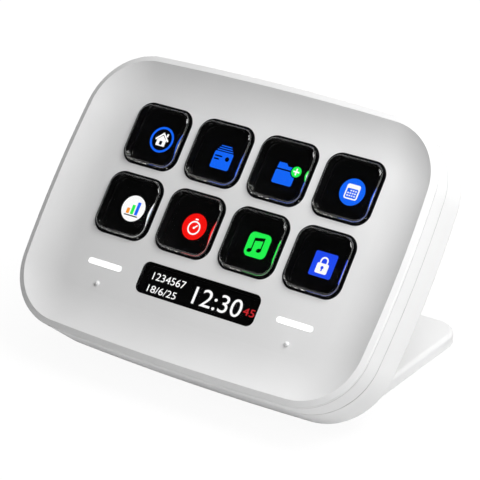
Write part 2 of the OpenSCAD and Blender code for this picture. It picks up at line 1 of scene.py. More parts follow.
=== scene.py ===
# %% [markdown]
# # A desk keypad with eight display keys
#
# The object is a small white desk keypad. Eight clear keys stand over one colour display, so
# that each key shows a picture of its own, and the whole case leans back on a bent stand.
# The hard parts come from the CAD model and stay where they are. This file gives them their
# finishes, and adds what a CAD model leaves out: the pictures on the display, the soft rubber
# domes under the keys, the contacts in the cable socket, the light and the camera.

# %% Load the CAD frame
import json
import math

import bmesh
import bpy
from mathutils import Matrix, Vector


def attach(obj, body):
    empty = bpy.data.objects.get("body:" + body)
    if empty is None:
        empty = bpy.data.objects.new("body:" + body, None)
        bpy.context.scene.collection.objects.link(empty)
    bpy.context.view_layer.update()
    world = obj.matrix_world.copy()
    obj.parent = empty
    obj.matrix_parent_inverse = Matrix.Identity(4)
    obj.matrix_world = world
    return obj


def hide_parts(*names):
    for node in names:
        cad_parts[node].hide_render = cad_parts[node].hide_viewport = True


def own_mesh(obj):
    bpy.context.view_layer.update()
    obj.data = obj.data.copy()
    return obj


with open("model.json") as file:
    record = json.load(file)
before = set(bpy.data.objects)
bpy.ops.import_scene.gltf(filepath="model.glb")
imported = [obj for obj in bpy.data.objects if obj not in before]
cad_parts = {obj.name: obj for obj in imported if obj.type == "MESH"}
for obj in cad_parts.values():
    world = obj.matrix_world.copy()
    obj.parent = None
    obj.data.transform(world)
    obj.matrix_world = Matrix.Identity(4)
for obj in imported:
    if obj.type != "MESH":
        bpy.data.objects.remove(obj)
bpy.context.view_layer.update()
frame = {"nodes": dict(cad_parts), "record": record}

# %% [markdown]
# ## Drawing on a tilted case
#
# Everything in the case was designed with the case lying on its back: x runs to the right,
# y up the face, z out of the face, and the sizes are in millimetres. It is far easier to
# draw in those coordinates than on a face that leans back by 50 degrees. One matrix then
# shrinks a drawing to metres, tips it up and lifts it onto the stand.

# %% From the case's own coordinates to the room's
MM = 0.001
FACE_TILT = math.radians(50)
CASE_LIFT = 31.0822
CASE_SHIFT = -0.3431

case_to_room = (
    Matrix.Translation((0, CASE_SHIFT * MM, CASE_LIFT * MM))
    @ Matrix.Rotation(FACE_TILT, 4, "X")
    @ Matrix.Scale(MM, 4)
)
face_normal = case_to_room.to_3x3() @ Vector((0, 0, 1))
face_normal.normalize()
print("the face looks along", [round(x, 3) for x in face_normal])

# %% [markdown]
# ## Sizes that the drawings share
#
# These repeat the CAD model's own sizes: where each key and the domes under it stand, how
# high the display's front and the key mat are, at which depths the outer mouldings end, how
# far a key travels, where the small window sits under the keys, where the cable socket opens
# in the back, and how large its tongue is.

# %% Key places and levels
COLUMNS, ROWS = 4, 2
KEY_PITCH = 19.85
KEY_RISE = 8.1
DISPLAY_FRONT = 10.75
MAT_FRONT = 11.6
REAR_FRONT = 10.3
SIDE_BACK, SIDE_FRONT = 10.5, 16.125
DOME_H = 1.1
DOME_AT = 7.9
WINDOW_Y = -18.5
SOCKET_Y = 22
TONGUE_W, TONGUE_T = 6.6, 0.7
TONGUE_END, TONGUE_ROOT = 1.1, 4.3


def key_place(key):
    """Centre of a key, numbered from 1 along the upper row and then the lower one."""
    column, row = (key - 1) % COLUMNS, (key - 1) // COLUMNS
    x = (column - (COLUMNS - 1) / 2) * KEY_PITCH
    y = KEY_RISE + ((ROWS - 1) / 2 - row) * KEY_PITCH
    return x, y


KEYS = range(1, COLUMNS * ROWS + 1)
print("key 1 stands at", key_place(1), "and key 8 at", key_place(8))

# %% [markdown]
# ## Camera
#
# A long lens a little over half a metre away keeps the perspective gentle, as for a product
# picture of something that fits in a hand. The camera looks down at the face from the right.

# %% Set up the camera
CAMERA_PLACE = Vector((0.3092, -0.44157, 0.28121))
CAMERA_VIEW = Vector((-0.5246, 0.7411, -0.4191))
LENS, SENSOR = 171.3, 36

camera_data = bpy.data.cameras.new("camera")
camera_data.lens = LENS
camera_data.sensor_width = SENSOR
camera = bpy.data.objects.new("camera", camera_data)
camera.location = CAMERA_PLACE
camera.rotation_euler = CAMERA_VIEW.to_track_quat("-Z", "Y").to_euler()
bpy.context.scene.collection.objects.link(camera)
bpy.context.scene.camera = camera
print("camera is", round(CAMERA_PLACE.length, 3), "m from the object")

# %% [markdown]
# ## Finishes
#
# A finish is a Principled shader whose colour, roughness and surface relief are driven by
# noise. Real plastic is never one flat value: a mould's etched texture scatters the light,
# and its gloss drifts a little from place to place. Noise reads Object coordinates, which
# are metres here, so a scale of 4000 gives grains of about a quarter of a millimetre. Most
# of a noise lies between 0.3 and 0.7, so that range is spread over the whole way between
# two values.

# %% Helpers for node materials
NOISE_LOW, NOISE_HIGH = 0.3, 0.7


def start_material(name, colour, roughness, **sockets):
    """A Principled material with its plain values set on the shader's own sockets.

    Returns the material, its node tree and its shader, for others to build on.
    """
    material = bpy.data.materials.new(name)
    material.use_nodes = True
    shader = material.node_tree.nodes["Principled BSDF"]
    shader.inputs["Base Color"].default_value = (*colour, 1)
    shader.inputs["Roughness"].default_value = roughness
    for socket, value in sockets.items():
        shader.inputs[socket.replace("_", " ")].default_value = value
    return material, material.node_tree, shader


def add_noise(tree, scale, detail=2.0):
    """A noise pattern fixed to the object, as a value from 0 to 1."""
    place = tree.nodes.new("ShaderNodeTexCoord")
    noise = tree.nodes.new("ShaderNodeTexNoise")
    noise.inputs["Scale"].default_value = scale
    noise.inputs["Detail"].default_value = detail
    tree.links.new(place.outputs["Object"], noise.inputs["Vector"])
    return noise.outputs["Fac"]


def vary_value(tree, pattern, socket, low, high):
    """Drives a value socket between low and high with a pattern."""
    spread = tree.nodes.new("ShaderNodeMapRange")
    spread.inputs["From Min"].default_value = NOISE_LOW
    spread.inputs["From Max"].default_value = NOISE_HIGH
    spread.inputs["To Min"].default_value = low
    spread.inputs["To Max"].default_value = high
    tree.links.new(pattern, spread.inputs["Value"])
    tree.links.new(spread.outputs["Result"], socket)


def vary_colour(tree, pattern, socket, low, high):
    """Drives a colour socket between two colours with a pattern."""
    ramp = tree.nodes.new("ShaderNodeValToRGB")
    for stop, position, colour in zip(ramp.color_ramp.elements, (NOISE_LOW, NOISE_HIGH),
                                      (low, high)):
        stop.position = position
        stop.color = (*colour, 1)
    tree.links.new(pattern, ramp.inputs["Fac"])
    tree.links.new(ramp.outputs["Color"], socket)


def add_relief(tree, pattern, shader, depth):
    """Turns a pattern into surface relief that is depth metres deep."""
    bump = tree.nodes.new("ShaderNodeBump")
    bump.inputs["Distance"].default_value = depth
    tree.links.new(pattern, bump.inputs["Height"])
    tree.links.new(bump.outputs["Normal"], shader.inputs["Normal"])


# %% [markdown]
# ### Finishes that know where they are
#
# Some finishes change from place to place: ink on a wall, dust along an edge. They need to
# know how a point lies in the case. A Mapping node undoes the tilt, so that x, y and z read
# in the case's own millimetres. The dot product of a surface's normal and the face's tells a
# wall that stands across the face, near 0, from the front and the back, near 1.

# %% Helpers for finishes that change from place to place
def calculate(tree, operation, first, second=None):
    """A Math node, whose inputs are other nodes' sockets or plain numbers."""
    node = tree.nodes.new("ShaderNodeMath")
    node.operation = operation
    for value, socket in zip((first, second), node.inputs):
        if isinstance(value, bpy.types.NodeSocket):
            tree.links.new(value, socket)
        elif value is not None:
            socket.default_value = value
    return node.outputs["Value"]


def place_in_case(tree):
    """The point's x, y and z in the case's own millimetres."""
    place = tree.nodes.new("ShaderNodeTexCoord")
    untilt = tree.nodes.new("ShaderNodeMapping")
    untilt.vector_type = "TEXTURE"
    untilt.inputs["Location"].default_value = case_to_room.to_translation()
    untilt.inputs["Rotation"].default_value = (FACE_TILT, 0, 0)
    untilt.inputs["Scale"].default_value = (MM, MM, MM)
    parts = tree.nodes.new("ShaderNodeSeparateXYZ")
    tree.links.new(place.outputs["Object"], untilt.inputs["Vector"])
    tree.links.new(untilt.outputs["Vector"], parts.inputs["Vector"])
    return parts.outputs


def walls(tree):
    """1 on the walls that stand across the face, 0 on the front and the back."""
    surface = tree.nodes.new("ShaderNodeNewGeometry")
    along_face = tree.nodes.new("ShaderNodeVectorMath")
    along_face.operation = "DOT_PRODUCT"
    along_face.inputs[1].default_value = face_normal
    tree.links.new(surface.outputs["True Normal"], along_face.inputs[0])
    return calculate(tree, "LESS_THAN",
                     calculate(tree, "ABSOLUTE", along_face.outputs["Value"]), 0.5)


def paint_over(tree, share, socket, colour):
    """Mixes a share of another colour into what runs into a colour socket."""
    mix = tree.nodes.new("ShaderNodeMixRGB")
    mix.inputs["Color2"].default_value = (*colour, 1)
    tree.links.new(share, mix.inputs["Fac"])
    tree.links.new(socket.links[0].from_socket, mix.inputs["Color1"])
    tree.links.new(mix.outputs["Color"], socket)


# %% [markdown]
# ### White case plastic
#
# The covers and the stand are moulded in white plastic, in a mould whose steel was etched to
# a fine satin texture. Two noises make it: a fine one for the etched grain, and a broad one
# that lets the colour drift by two hundredths and the roughness by a tenth.
#
# Two versions differ from it. The side ring and the rear cover have painted shade where their
# mouldings end, which draws the parting lines as thin dark lines. The rear cover ends only at
# its front, so its other end is set far behind it. The front cover is inked black on the
# walls of its key openings and behind them, so that no white shows through the clear keys.

# %% Make the white plastics
# Painted shade along the parting lines: its dark colour, how far in millimetres it reaches from a
# moulding's end, and how much of it lies at the end.
SEAM_SHADE_COLOUR = (0.05, 0.05, 0.05)
SEAM_SHADE_REACH = 0.12
SEAM_SHADE_SHARE = 0.3
OPENINGS_X, OPENINGS_Y = 39.5, 19.5
INK_FRONT = 14.3
INK = (0.005, 0.005, 0.005)


def white_plastic(name="white_plastic"):
    """White plastic, with its tree and shader for the versions that differ from it."""
    material, tree, shader = start_material(name, (0.82, 0.82, 0.82), 0.5)
    broad = add_noise(tree, 60)
    vary_colour(tree, broad, shader.inputs["Base Color"],
                (0.815, 0.815, 0.815), (0.835, 0.835, 0.835))
    vary_value(tree, broad, shader.inputs["Roughness"], 0.46, 0.56)
    add_relief(tree, add_noise(tree, 5000, 3), shader, 0.000004)
    return material, tree, shader


def seam_shaded_white(name, low, high):
    """White plastic with painted shade along the two depths in the case at which a moulding ends.
    """
    material, tree, shader = white_plastic(name)
    depth = place_in_case(tree)["Z"]
    from_middle = calculate(tree, "SUBTRACT", depth, (low + high) / 2)
    to_edge = calculate(tree, "SUBTRACT", (high - low) / 2,
                        calculate(tree, "ABSOLUTE", from_middle))
    # The darker colour here is painted shade, strongest where a moulding ends.
    painted_shade = tree.nodes.new("ShaderNodeMapRange")
    painted_shade.inputs["From Max"].default_value = SEAM_SHADE_REACH
    painted_shade.inputs["To Min"].default_value = SEAM_SHADE_SHARE
    painted_shade.inputs["To Max"].default_value = 0
    tree.links.new(to_edge, painted_shade.inputs["Value"])
    paint_over(tree, painted_shade.outputs["Result"], shader.inputs["Base Color"], SEAM_SHADE_COLOUR)
    return material


def inked_white():
    """White plastic that is black on the key openings' walls and behind the key field."""
    material, tree, shader = white_plastic("white_front")
    place = place_in_case(tree)
    across = calculate(tree, "ABSOLUTE", place["X"])
    along = calculate(tree, "ABSOLUTE", calculate(tree, "SUBTRACT", place["Y"], KEY_RISE))
    in_field = calculate(tree, "MULTIPLY", calculate(tree, "LESS_THAN", across, OPENINGS_X),
                         calculate(tree, "LESS_THAN", along, OPENINGS_Y))
    behind = calculate(tree, "LESS_THAN", place["Z"], INK_FRONT)
    ink = calculate(tree, "MULTIPLY", in_field, calculate(tree, "MAXIMUM", walls(tree), behind))
    paint_over(tree, ink, shader.inputs["Base Color"], INK)
    return material


# %% [markdown]
# ### Black parts
#
# The frame round the keys is black plastic that hardly shines, so that it stays black behind
# the clear keys. The sole is rubber, and the touch pads are foam. They differ in roughness,
# in how much they mirror, and in the size of their grain.

# %% Make the black plastic, the rubber and the foam
def dark_finish(name, low, high, roughness, grain, depth, mirror=0.5):
    """A finish whose colour, roughness and relief all follow one noise."""
    material, tree, shader = start_material(name, low, roughness[0], Specular_IOR_Level=mirror)
    pattern = add_noise(tree, grain, 3)
    vary_colour(tree, pattern, shader.inputs["Base Color"], low, high)
    vary_value(tree, pattern, shader.inputs["Roughness"], *roughness)
    add_relief(tree, pattern, shader, depth)
    return material


def black_plastic():
    """Fine satin plastic that hardly mirrors."""
    return dark_finish("black_plastic", (0.004, 0.004, 0.005), (0.007, 0.007, 0.008),
                       roughness=(0.35, 0.45), grain=4000, depth=0.000003, mirror=0.08)


def black_rubber():
    """Dull rubber with a coarser grain."""
    return dark_finish("black_rubber", (0.022, 0.022, 0.024), (0.034, 0.034, 0.036),
                       roughness=(0.75, 0.9), grain=2500, depth=0.00002)


def black_foam():
    """Open foam, the dullest and coarsest of the three."""
    return dark_finish("black_foam", (0.03, 0.03, 0.032), (0.07, 0.07, 0.072),
                       roughness=(0.85, 0.95), grain=1800, depth=0.00008)


# %% [markdown]
# ### Clear plastic
#
# The keycaps and the small window are clear and polished. Light bends at each surface, so the
# display seems to lie higher than it does, and the walls of a cap mirror the picture under it.
# Their faces carry a thin coating that takes most of the mirror image away, which is why
# the specular level is low. A faint noise in the roughness stands for fine wear marks.
#
# The small window's side walls are inked black, so that the white cover round it can't be
# seen through its ends.

# %% Make the clear plastic
def clear_plastic(name="clear_plastic"):
    """Clear polished plastic, with its tree and shader for the window's version of it."""
    material, tree, shader = start_material(name, (1, 1, 1), 0.01,
                                            IOR=1.49, Transmission_Weight=1.0,
                                            Specular_IOR_Level=0.2)
    vary_value(tree, add_noise(tree, 300), shader.inputs["Roughness"], 0.0, 0.02)
    return material, tree, shader


def inked_window():
    """Clear plastic whose side walls are black."""
    material, tree, shader = clear_plastic("inked_window")
    wall = walls(tree)
    vary_colour(tree, wall, shader.inputs["Base Color"], (1, 1, 1), INK)
    vary_value(tree, wall, shader.inputs["Transmission Weight"], 1, 0)
    return material


# %% [markdown]
# ### Display glass
#
# The panel's front is nearly black where no picture is lit. A very fine noise stands for
# its picture elements, and a broad one lets the gloss drift as it does on real glass.

# %% Make the display glass
def display_glass():
    """The dark front of the display."""
    material, tree, shader = start_material("display_glass", (0.003, 0.003, 0.004), 0.15,
                                            Specular_IOR_Level=0.08)
    vary_colour(tree, add_noise(tree, 8000), shader.inputs["Base Color"],
                (0.0025, 0.0025, 0.003), (0.004, 0.004, 0.005))
    vary_value(tree, add_noise(tree, 200), shader.inputs["Roughness"], 0.12, 0.18)
    return material


# %% [markdown]
# ### Metals
#
# Screws, the display's tray and the socket's shell are plated metal: fully metallic, with
# fine streaks that come from drawing and turning. Stretching the noise along one axis makes
# the streaks. The socket's contacts use the same finish in gold.

# %% Make the plated metals
STREAK_SHADE = 0.85
STREAK_STRETCH = 12


def plated_metal(name, colour, roughness):
    """A metal with fine streaks, which are a little darker than its colour."""
    material, tree, shader = start_material(name, colour, roughness[0], Metallic=1.0)
    place = tree.nodes.new("ShaderNodeTexCoord")
    stretch = tree.nodes.new("ShaderNodeMapping")
    stretch.inputs["Scale"].default_value = (1, STREAK_STRETCH, STREAK_STRETCH)
    noise = tree.nodes.new("ShaderNodeTexNoise")
    noise.inputs["Scale"].default_value = 900
    noise.inputs["Detail"].default_value = 4
    tree.links.new(place.outputs["Object"], stretch.inputs["Vector"])
    tree.links.new(stretch.outputs["Vector"], noise.inputs["Vector"])
    pattern = noise.outputs["Fac"]
    darker = tuple(STREAK_SHADE * c for c in colour)
    vary_colour(tree, pattern, shader.inputs["Base Color"], darker, colour)
    vary_value(tree, pattern, shader.inputs["Roughness"], *roughness)
    add_relief(tree, pattern, shader, 0.000003)
    return material


# %% [markdown]
# ### Inner parts
#
# The boards are glass fibre under lacquer. The main board's is green, and the one round the
# keys is black, so that no stray light shows beside a picture. The ribbons are amber plastic
# film with copper tracks in it, and the key mat is black silicone, which keeps the edges of
# the keys dark.

# %% Make the board, ribbon and silicone finishes
def circuit_board(name, low, high, coat, mirror=0.5):
    """Woven glass fibre under a coat of lacquer."""
    material, tree, shader = start_material(name, low, 0.35, Coat_Weight=coat,
                                            Coat_Roughness=0.15, Specular_IOR_Level=mirror)
    weave = add_noise(tree, 1500, 3)
    vary_colour(tree, weave, shader.inputs["Base Color"], low, high)
    vary_value(tree, weave, shader.inputs["Roughness"], 0.3, 0.45)
    add_relief(tree, weave, shader, 0.000005)
    return material


def ribbon_film():
    """Amber film with tracks along it."""
    material, tree, shader = start_material("ribbon_film", (0.45, 0.2, 0.04), 0.3)
    place = tree.nodes.new("ShaderNodeTexCoord")
    tracks = tree.nodes.new("ShaderNodeTexWave")
    tracks.bands_direction = "X"
    tracks.inputs["Scale"].default_value = 600
    tracks.inputs["Distortion"].default_value = 0.2
    tree.links.new(place.outputs["Object"], tracks.inputs["Vector"])
    stripes = tracks.outputs["Fac"]
    vary_colour(tree, stripes, shader.inputs["Base Color"], (0.35, 0.13, 0.02), (0.6, 0.28, 0.07))
    vary_value(tree, stripes, shader.inputs["Roughness"], 0.25, 0.4)
    return material


def silicone():
    """Black silicone rubber with a cloudy surface."""
    material, tree, shader = start_material("silicone", (0.004, 0.004, 0.004), 0.6,
                                            Specular_IOR_Level=0.03)
    cloudy = add_noise(tree, 700)
    vary_colour(tree, cloudy, shader.inputs["Base Color"],
                (0.003, 0.003, 0.0033), (0.0048, 0.0048, 0.005))
    vary_value(tree, cloudy, shader.inputs["Roughness"], 0.5, 0.65)
    add_relief(tree, cloudy, shader, 0.00001)
    return material


# %% [markdown]
# ### Light
#
# The display's pictures and the two light bars shine. A strength of 1 shows their colour as
# it is written, and the pictures get a tenth more for what the clear caps take away. The
# raster of the display's picture elements makes them a little darker on fine lines. A wave
# texture of scale 1 has a period of 0.314, so the scale that gives one line for each picture
# element is that number over the element's size. The lamps behind the light bars are yellow
# when one looks into them, from their phosphor.

# %% Make the lit finishes
PIXEL = 0.00012
WAVE_PERIOD = 0.314
RASTER_SHADE = 0.92
CAP_LOSS = 1.1


def lit_picture(name, colour):
    """Light of one colour from the display, with its raster."""
    material, tree, shader = start_material(name, (0, 0, 0), 0.4, Emission_Strength=CAP_LOSS,
                                            Specular_IOR_Level=0.1)
    place = tree.nodes.new("ShaderNodeTexCoord")
    raster = tree.nodes.new("ShaderNodeTexWave")
    raster.bands_direction = "X"
    raster.inputs["Scale"].default_value = WAVE_PERIOD / PIXEL
    tree.links.new(place.outputs["Object"], raster.inputs["Vector"])
    darker = tuple(RASTER_SHADE * c for c in colour)
    vary_colour(tree, raster.outputs["Fac"], shader.inputs["Emission Color"], darker, colour)
    return material


def light_diffuser():
    """Milky plastic that is lit from behind."""
    material, tree, shader = start_material("light_diffuser", (0.9, 0.9, 0.9), 0.4,
                                            Emission_Strength=0.75)
    milky = add_noise(tree, 250)
    vary_colour(tree, milky, shader.inputs["Emission Color"], (0.94, 0.95, 0.96), (1, 1, 1))
    vary_value(tree, milky, shader.inputs["Roughness"], 0.35, 0.45)
    return material


def lamp_phosphor():
    """The yellow face of a white lamp."""
    material, tree, shader = start_material("lamp_phosphor", (0.8, 0.6, 0.08), 0.3,
                                            Emission_Strength=0.6)
    grain = add_noise(tree, 6000)
    vary_colour(tree, grain, shader.inputs["Base Color"], (0.7, 0.48, 0.05), (0.85, 0.66, 0.12))
    vary_colour(tree, grain, shader.inputs["Emission Color"], (0.9, 0.93, 1), (1, 1, 1))
    return material


# %% [markdown]
# ## Give each CAD node its finish
#
# The record names a material slot for each node, so one table from slot to finish covers
# the whole object. A second, short table holds the nodes whose finish differs from the rest
# of their slot.

# %% Assign the finishes
FINISHES = {
    "white_shell": white_plastic()[0],
    "black_plastic": black_plastic(),
    "clear_plastic": clear_plastic()[0],
    "diffuser": light_diffuser(),
    "lamp": lamp_phosphor(),
    "black_rubber": black_rubber(),
    "silicone": silicone(),
    "foam": black_foam(),
    "display_glass": display_glass(),
    "tray_metal": plated_metal("tray_metal", (0.75, 0.76, 0.78), (0.3, 0.45)),
    "socket_metal": plated_metal("socket_metal", (0.7, 0.71, 0.73), (0.2, 0.32)),
    "steel": plated_metal("steel", (0.55, 0.56, 0.58), (0.25, 0.4)),
    "circuit_board": circuit_board("green_board", (0.008, 0.075, 0.032), (0.014, 0.11, 0.05),
                                   coat=0.4),
    "ribbon": ribbon_film(),
}
BY_NODE = {
    "front_cover": inked_white(),
    # The side ring and the rear cover get painted shade along their parting lines.
    "side_frame": seam_shaded_white("white_ring_seam_shaded", SIDE_BACK, SIDE_FRONT),
    "rear_cover": seam_shaded_white("white_back_seam_shaded", -REAR_FRONT, REAR_FRONT),
    "info_window": inked_window(),
    "contact_board": circuit_board("black_board", (0.003, 0.003, 0.003), (0.005, 0.005, 0.005),
                                   coat=0, mirror=0.03),
}

slot_of = {part["node"]: part["material_slot"] for part in frame["record"]["subparts"]}
for name, node in frame["nodes"].items():
    node.data.materials.clear()
    node.data.materials.append(BY_NODE.get(name, FINISHES[slot_of[name]]))
print("finishes given to", len(slot_of), "nodes")

# %% [markdown]
# ## Pictures on the display
#
# Under each clear key the display shows a small picture. A picture could be an image, but a
# drawing made of flat shapes stays sharp at any distance. Each shape is drawn flat, round
# the middle of its key and in millimetres, thickened into a very thin slab, and laid on the
# display. A shape that lies on one of another colour goes one layer higher, so that their
# faces never meet.

# %% Helpers that draw flat shapes
LAYER = 0.03
LAYER_STEP = 0.035
PICTURE_R = 3.6


def disc(drawing, radius, place=(0, 0)):
    """A flat round shape."""
    middle = Matrix.Translation((*place, 0))
    return bmesh.ops.create_circle(drawing, cap_ends=True, segments=64, radius=radius,
                                   matrix=middle)["verts"]


def ring(drawing, outer, inner, place=(0, 0)):
    """A disc whose middle is inset and taken away."""
    middle = disc(drawing, outer, place)[0].link_faces[0]
    bmesh.ops.inset_individual(drawing, faces=[middle], thickness=outer - inner)
    bmesh.ops.delete(drawing, geom=[middle], context="FACES")


def card(drawing, width, height, corner, place=(0, 0), turn=0):
    """A rectangle with round corners, turned by an angle in degrees."""
    spot = (Matrix.Translation((*place, 0)) @ Matrix.Rotation(math.radians(turn), 4, "Z")
            @ Matrix.Diagonal((width, height, 1, 1)))
    corners = bmesh.ops.create_grid(drawing, x_segments=1, y_segments=1, size=0.5,
                                    matrix=spot)["verts"]
    bmesh.ops.bevel(drawing, geom=corners, offset=corner, offset_type="OFFSET", segments=6,
                    profile=0.5, affect="VERTICES", material=-1)


def outline(drawing, corners):
    """A flat shape with straight sides, given by its corners."""
    drawing.faces.new([drawing.verts.new((x, y, 0)) for x, y in corners])


# %% [markdown]
# ### From a drawing to a piece
#
# Extruding a flat face gives a closed slab, whose faces are then turned outwards. The
# matrix tips the slab onto the display, and the piece rides on the case like the display.

# %% Helpers that make pieces
def make_piece(shape, name, finish):
    """Turns a finished shape into a piece that rides on the case."""
    mesh = bpy.data.meshes.new(name)
    shape.to_mesh(mesh)
    shape.free()
    mesh.materials.append(finish)
    piece = bpy.data.objects.new(name, mesh)
    bpy.context.scene.collection.objects.link(piece)
    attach(piece, "case")
    print(name, "has", len(mesh.polygons), "faces")
    return piece


def thicken(drawing, thickness):
    """Extrudes every flat shape into a slab, with its faces turned outwards."""
    raised = bmesh.ops.extrude_face_region(drawing, geom=drawing.faces[:])
    front = [part for part in raised["geom"] if isinstance(part, bmesh.types.BMVert)]
    bmesh.ops.translate(drawing, verts=front, vec=(0, 0, thickness))
    bmesh.ops.recalc_face_normals(drawing, faces=drawing.faces[:])


def lay_on_display(drawing, name, finish, place, layer=0):
    """Thickens a drawing by one layer and lays it on the display, centred on place."""
    thicken(drawing, LAYER)
    level = DISPLAY_FRONT + LAYER_STEP - LAYER + layer * LAYER_STEP
    spot = case_to_room @ Matrix.Translation((*place, level))
    bmesh.ops.transform(drawing, matrix=spot, verts=drawing.verts[:])
    make_piece(drawing, name, finish)


# %% [markdown]
# ### Colours of the pictures
#
# Each colour is one finish, which all the pictures share. The dark parts of a picture are
# unlit display, so they take the display's own finish.

# %% Mix the colours
BLUE = lit_picture("lit_blue", (0.006, 0.135, 0.95))
DEEP_BLUE = lit_picture("lit_deep_blue", (0.014, 0.07, 0.88))
GREEN = lit_picture("lit_green", (0.016, 0.9, 0.08))
RED = lit_picture("lit_red", (0.92, 0.006, 0.004))
DIM_RED = lit_picture("lit_dim_red", (0.6, 0.02, 0.025))
ORANGE = lit_picture("lit_orange", (0.95, 0.3, 0.02))
WHITE = lit_picture("lit_white", (1, 1, 1))
DARK = FINISHES["display_glass"]
lit_colours = (BLUE, DEEP_BLUE, GREEN, RED, DIM_RED, ORANGE, WHITE)
print("the pictures are lit in", len(lit_colours), "colours")

# %% [markdown]
# ### Key 1: a house in a ring
#
# The house is three white shapes: the walls, a roof that floats just above them, and a
# chimney. The door is a dark card that lies one layer higher.

# %% Draw the house
RING_HOLE_R = 3.0
WALL_X, WALL_FOOT, WALL_PEAK = 1.4, -1.75, 1.2
ROOF_X, ROOF_END = 2.15, 0.35
ROOF_INSIDE, ROOF_PEAK = 1.5, 2.1

drawing = bmesh.new()
ring(drawing, PICTURE_R, RING_HOLE_R)
lay_on_display(drawing, "picture_1_ring", BLUE, key_place(1))

drawing = bmesh.new()
outline(drawing, [(-WALL_X, WALL_FOOT), (WALL_X, WALL_FOOT), (WALL_X, 0), (0, WALL_PEAK),
                  (-WALL_X, 0)])
outline(drawing, [(-ROOF_X, 0), (ROOF_END - ROOF_X, -ROOF_END), (0, ROOF_INSIDE),
                  (ROOF_X - ROOF_END, -ROOF_END), (ROOF_X, 0), (0, ROOF_PEAK)])
card(drawing, 0.5, 0.9, corner=0.05, place=(1.3, 1.45))
lay_on_display(drawing, "picture_1_house", WHITE, key_place(1))

drawing = bmesh.new()
card(drawing, 0.85, 1.05, corner=0.12, place=(0, -0.9))
lay_on_display(drawing, "picture_1_door", DARK, key_place(1), layer=1)

# %% [markdown]
# ### Key 2: a stack of papers
#
# The front sheet is a card with two dark lines and a dot, and the sheets behind it show as
# bars that get narrower.

# %% Draw the papers
SHEETS_BEHIND = 3
SHEET_W, SHEET_T = 4.9, 0.27
SHEET_NARROWS = 0.8
SHEET_Y, SHEET_STEP = 1.62, 0.6

drawing = bmesh.new()
card(drawing, 5.8, 4.7, corner=0.5, place=(0, -1.15))
for sheet in range(SHEETS_BEHIND):
    card(drawing, SHEET_W - SHEET_NARROWS * sheet, SHEET_T, corner=0.12,
         place=(0, SHEET_Y + SHEET_STEP * sheet))
lay_on_display(drawing, "picture_2_papers", BLUE, key_place(2))

drawing = bmesh.new()
card(drawing, 2.3, 0.38, corner=0.17, place=(-1.35, -0.1))
card(drawing, 1.6, 0.38, corner=0.17, place=(-1.7, -0.95))
disc(drawing, 0.62, place=(1.5, -0.5))
lay_on_display(drawing, "picture_2_lines", DARK, key_place(2), layer=1)

# %% [markdown]
# ### Key 3: a folder with a plus
#
# The folder is a front card and a tabbed strip behind it, with a dark gap between the two.
# The plus stands on a green disc, which a slightly larger dark disc sets apart.

# %% Draw the folder
STRIP_FOOT, STRIP_TOP, TAB_TOP = 1.1, 2.0, 2.7
PLUS_AT = (2.55, 1.15)
PLUS_W, PLUS_T = 1.8, 0.42
GREEN_R, GAP_R = 1.45, 1.75

drawing = bmesh.new()
card(drawing, 6.0, 3.7, corner=0.45, place=(-0.5, -1.15))
outline(drawing, [(-3.4, STRIP_FOOT), (2.4, STRIP_FOOT), (2.4, STRIP_TOP), (-0.3, STRIP_TOP),
                  (-1.0, TAB_TOP), (-3.2, TAB_TOP)])
lay_on_display(drawing, "picture_3_folder", BLUE, key_place(3))

drawing = bmesh.new()
disc(drawing, GAP_R, PLUS_AT)
lay_on_display(drawing, "picture_3_gap", DARK, key_place(3), layer=1)

drawing = bmesh.new()
disc(drawing, GREEN_R, PLUS_AT)
lay_on_display(drawing, "picture_3_disc", GREEN, key_place(3), layer=2)

drawing = bmesh.new()
card(drawing, PLUS_W, PLUS_T, corner=0.1, place=PLUS_AT)
card(drawing, PLUS_T, PLUS_W, corner=0.1, place=PLUS_AT)
lay_on_display(drawing, "picture_3_plus", WHITE, key_place(3), layer=3)

# %% [markdown]
# ### Key 4: a calendar
#
# A white card lies on a blue disc, a blue card on it leaves a frame and a header, and a
# loop sets out the days as rows of dots. The first place stays empty.

# %% Draw the calendar
FIELD_Y = -0.4
DAY_ROWS, DAY_COLUMNS = 3, 4
DAY_PITCH = 0.68

drawing = bmesh.new()
disc(drawing, PICTURE_R)
lay_on_display(drawing, "picture_4_disc", BLUE, key_place(4))

drawing = bmesh.new()
card(drawing, 3.9, 4.0, corner=0.6)
lay_on_display(drawing, "picture_4_sheet", WHITE, key_place(4), layer=1)

drawing = bmesh.new()
card(drawing, 3.1, 2.5, corner=0.25, place=(0, FIELD_Y))
lay_on_display(drawing, "picture_4_field", BLUE, key_place(4), layer=2)

drawing = bmesh.new()
for row in range(DAY_ROWS):
    for column in range(DAY_COLUMNS):
        if (row, column) != (0, 0):
            x = (column - (DAY_COLUMNS - 1) / 2) * DAY_PITCH
            y = FIELD_Y + ((DAY_ROWS - 1) / 2 - row) * DAY_PITCH
            card(drawing, 0.4, 0.36, corner=0.08, place=(x, y))
lay_on_display(drawing, "picture_4_days", WHITE, key_place(4), layer=3)

# %% [markdown]
# ### Key 5: a bar chart
#
# Three bars of different heights stand on a white disc, over a thin base line.

# %% Draw the chart
CHART_FOOT = -1.6
BAR_W, BAR_PITCH = 0.95, 1.35
BARS = (("low", ORANGE, 1.5), ("middle", GREEN, 2.6), ("high", BLUE, 3.6))

drawing = bmesh.new()
disc(drawing, PICTURE_R)
lay_on_display(drawing, "picture_5_disc", WHITE, key_place(5))

for number, (name, finish, height) in enumerate(BARS, start=-1):
    drawing = bmesh.new()
    card(drawing, BAR_W, height, corner=0.15,
         place=(number * BAR_PITCH, CHART_FOOT + height / 2))
    lay_on_display(drawing, "picture_5_" + name, finish, key_place(5), layer=1)

